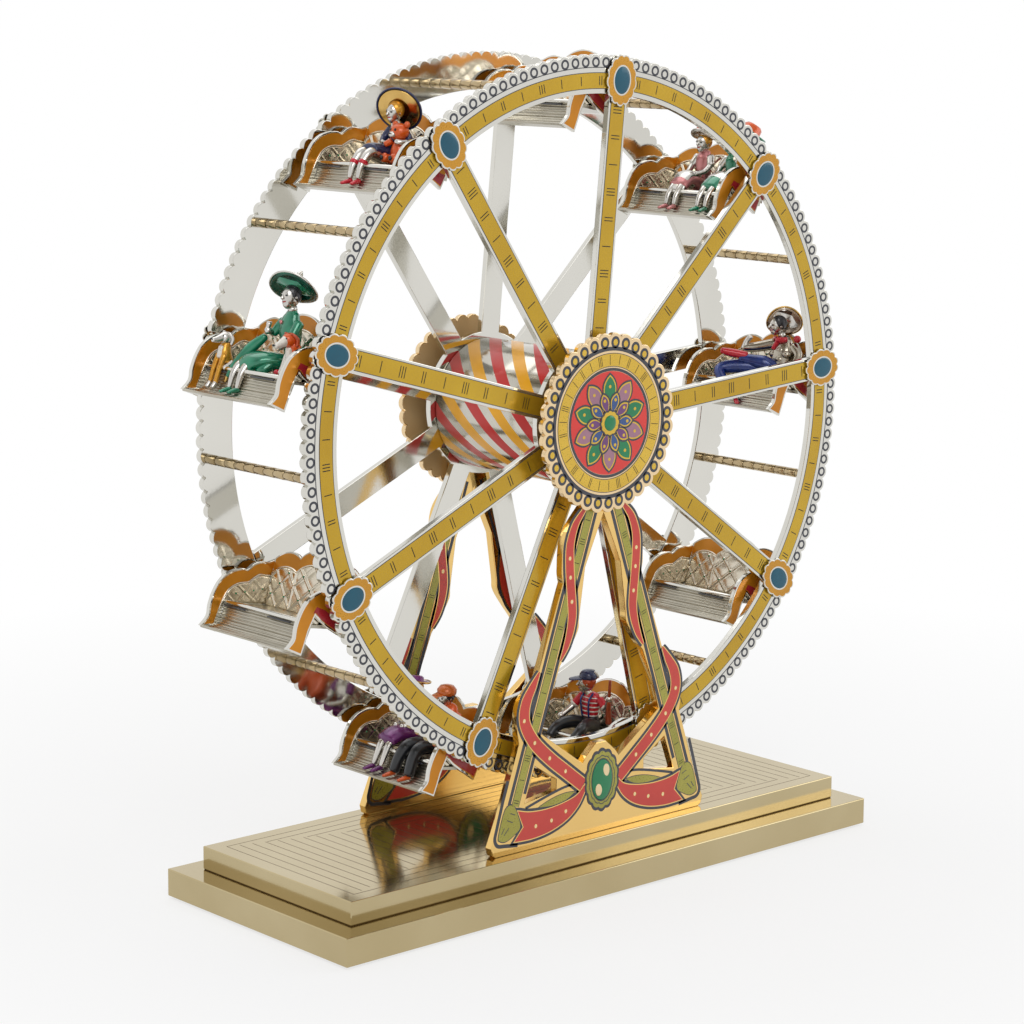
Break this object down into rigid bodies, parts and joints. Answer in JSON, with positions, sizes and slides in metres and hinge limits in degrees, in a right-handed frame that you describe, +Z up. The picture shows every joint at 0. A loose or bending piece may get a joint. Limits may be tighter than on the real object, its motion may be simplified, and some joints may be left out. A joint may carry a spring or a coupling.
{
  "type": "ferris wheel ornament",
  "caption": "Enamelled silver ferris wheel on a stepped base: a twin-rim wheel on two A-frames, with hanging benches and seated figures.",
  "frame": {"origin": "middle of the underside of the base, where it rests", "axes": "+X along the base, in the plane of the wheel; +Y along the axle towards the rear; +Z up"},
  "size_m": [0.3385, 0.127, 0.3739],
  "materials": {
    "pad": "dark felt under the base",
    "base_gilt": "polished pale gilt silver, the deck engraved with fine lines",
    "frame_enamel": "polished gilt silver with red, olive and blue-black enamel on one face",
    "hub_enamel": "gilt silver with enamel rings and a petal rosette on the outer face",
    "drum_enamel": "silver with red and yellow spiral enamel stripes",
    "rim_enamel": "polished silver with a yellow-gold enamel band and dark engraving",
    "rosette_enamel": "orange-gold enamel with a teal-blue oval in a silver border",
    "silver": "polished silver",
    "bench_enamel": "silver with orange, red and yellow enamel on the side plates and back",
    "rider_enamel": "cast silver, partly enamelled in bright colours"
  },
  "bodies": {
    "stand": {"base_pad": "pad", "base_plinth": "base_gilt", "base_slab": "base_gilt", "front_frame": "frame_enamel", "rear_frame": "frame_enamel", "axle": "silver", "front_hub_disc": "hub_enamel", "rear_hub_disc": "hub_enamel"},
    "wheel": {"drum": "drum_enamel", "front_rim": "rim_enamel", "rear_rim": "rim_enamel", "front_spokes": "rim_enamel", "rear_spokes": "rim_enamel", "front_rosette_1": "rosette_enamel", "rear_rosette_1": "rosette_enamel", "tie_rod_1": "silver", "front_rosette_2": "rosette_enamel", "rear_rosette_2": "rosette_enamel", "tie_rod_2": "silver", "front_rosette_3": "rosette_enamel", "rear_rosette_3": "rosette_enamel", "tie_rod_3": "silver", "front_rosette_4": "rosette_enamel", "rear_rosette_4": "rosette_enamel", "tie_rod_4": "silver", "front_rosette_5": "rosette_enamel", "rear_rosette_5": "rosette_enamel", "tie_rod_5": "silver", "front_rosette_6": "rosette_enamel", "rear_rosette_6": "rosette_enamel", "tie_rod_6": "silver", "front_rosette_7": "rosette_enamel", "rear_rosette_7": "rosette_enamel", "tie_rod_7": "silver", "front_rosette_8": "rosette_enamel", "rear_rosette_8": "rosette_enamel", "tie_rod_8": "silver", "front_rosette_9": "rosette_enamel", "rear_rosette_9": "rosette_enamel", "tie_rod_9": "silver"},
    "hanging_bench_1": {"bench_1": "bench_enamel"},
    "hanging_bench_2": {"bench_2": "bench_enamel", "rider_2_front": "rider_enamel", "rider_2_rear": "rider_enamel"},
    "hanging_bench_3": {"bench_3": "bench_enamel", "rider_3": "rider_enamel"},
    "hanging_bench_4": {"bench_4": "bench_enamel"},
    "hanging_bench_5": {"bench_5": "bench_enamel", "rider_5": "rider_enamel"},
    "hanging_bench_6": {"bench_6": "bench_enamel", "rider_6_front": "rider_enamel", "rider_6_rear": "rider_enamel"},
    "hanging_bench_7": {"bench_7": "bench_enamel"},
    "hanging_bench_8": {"bench_8": "bench_enamel", "rider_8": "rider_enamel", "dog_8": "rider_enamel"},
    "hanging_bench_9": {"bench_9": "bench_enamel", "rider_9": "rider_enamel"}
  },
  "joints": [
    {"name": "wheel_spin", "type": "hinge", "parent": "stand", "child": "wheel", "pos_m": [0, 0, 0.2106], "axis": [0, 1, 0], "continuous": true},
    {"name": "bench_1_hang", "type": "hinge", "parent": "wheel", "child": "hanging_bench_1", "pos_m": [0.01464, 0, 0.35988], "axis": [0, 1, 0], "continuous": true},
    {"name": "bench_2_hang", "type": "hinge", "parent": "wheel", "child": "hanging_bench_2", "pos_m": [0.10717, 0, 0.31555], "axis": [0, 1, 0], "continuous": true},
    {"name": "bench_3_hang", "type": "hinge", "parent": "wheel", "child": "hanging_bench_3", "pos_m": [0.14956, 0, 0.22211], "axis": [0, 1, 0], "continuous": true},
    {"name": "bench_4_hang", "type": "hinge", "parent": "wheel", "child": "hanging_bench_4", "pos_m": [0.12197, 0, 0.12328], "axis": [0, 1, 0], "continuous": true},
    {"name": "bench_5_hang", "type": "hinge", "parent": "wheel", "child": "hanging_bench_5", "pos_m": [0.0373, 0, 0.06531], "axis": [0, 1, 0], "continuous": true},
    {"name": "bench_6_hang", "type": "hinge", "parent": "wheel", "child": "hanging_bench_6", "pos_m": [-0.06481, 0, 0.07533], "axis": [0, 1, 0], "continuous": true},
    {"name": "bench_7_hang", "type": "hinge", "parent": "wheel", "child": "hanging_bench_7", "pos_m": [-0.1366, 0, 0.14863], "axis": [0, 1, 0], "continuous": true},
    {"name": "bench_8_hang", "type": "hinge", "parent": "wheel", "child": "hanging_bench_8", "pos_m": [-0.14447, 0, 0.25094], "axis": [0, 1, 0], "continuous": true},
    {"name": "bench_9_hang", "type": "hinge", "parent": "wheel", "child": "hanging_bench_9", "pos_m": [-0.08475, 0, 0.33437], "axis": [0, 1, 0], "continuous": true}
  ],
  "couplings": [
    {"joint": "bench_1_hang", "follows": "wheel_spin", "ratio": -1},
    {"joint": "bench_2_hang", "follows": "wheel_spin", "ratio": -1},
    {"joint": "bench_3_hang", "follows": "wheel_spin", "ratio": -1},
    {"joint": "bench_4_hang", "follows": "wheel_spin", "ratio": -1},
    {"joint": "bench_5_hang", "follows": "wheel_spin", "ratio": -1},
    {"joint": "bench_6_hang", "follows": "wheel_spin", "ratio": -1},
    {"joint": "bench_7_hang", "follows": "wheel_spin", "ratio": -1},
    {"joint": "bench_8_hang", "follows": "wheel_spin", "ratio": -1},
    {"joint": "bench_9_hang", "follows": "wheel_spin", "ratio": -1}
  ]
}
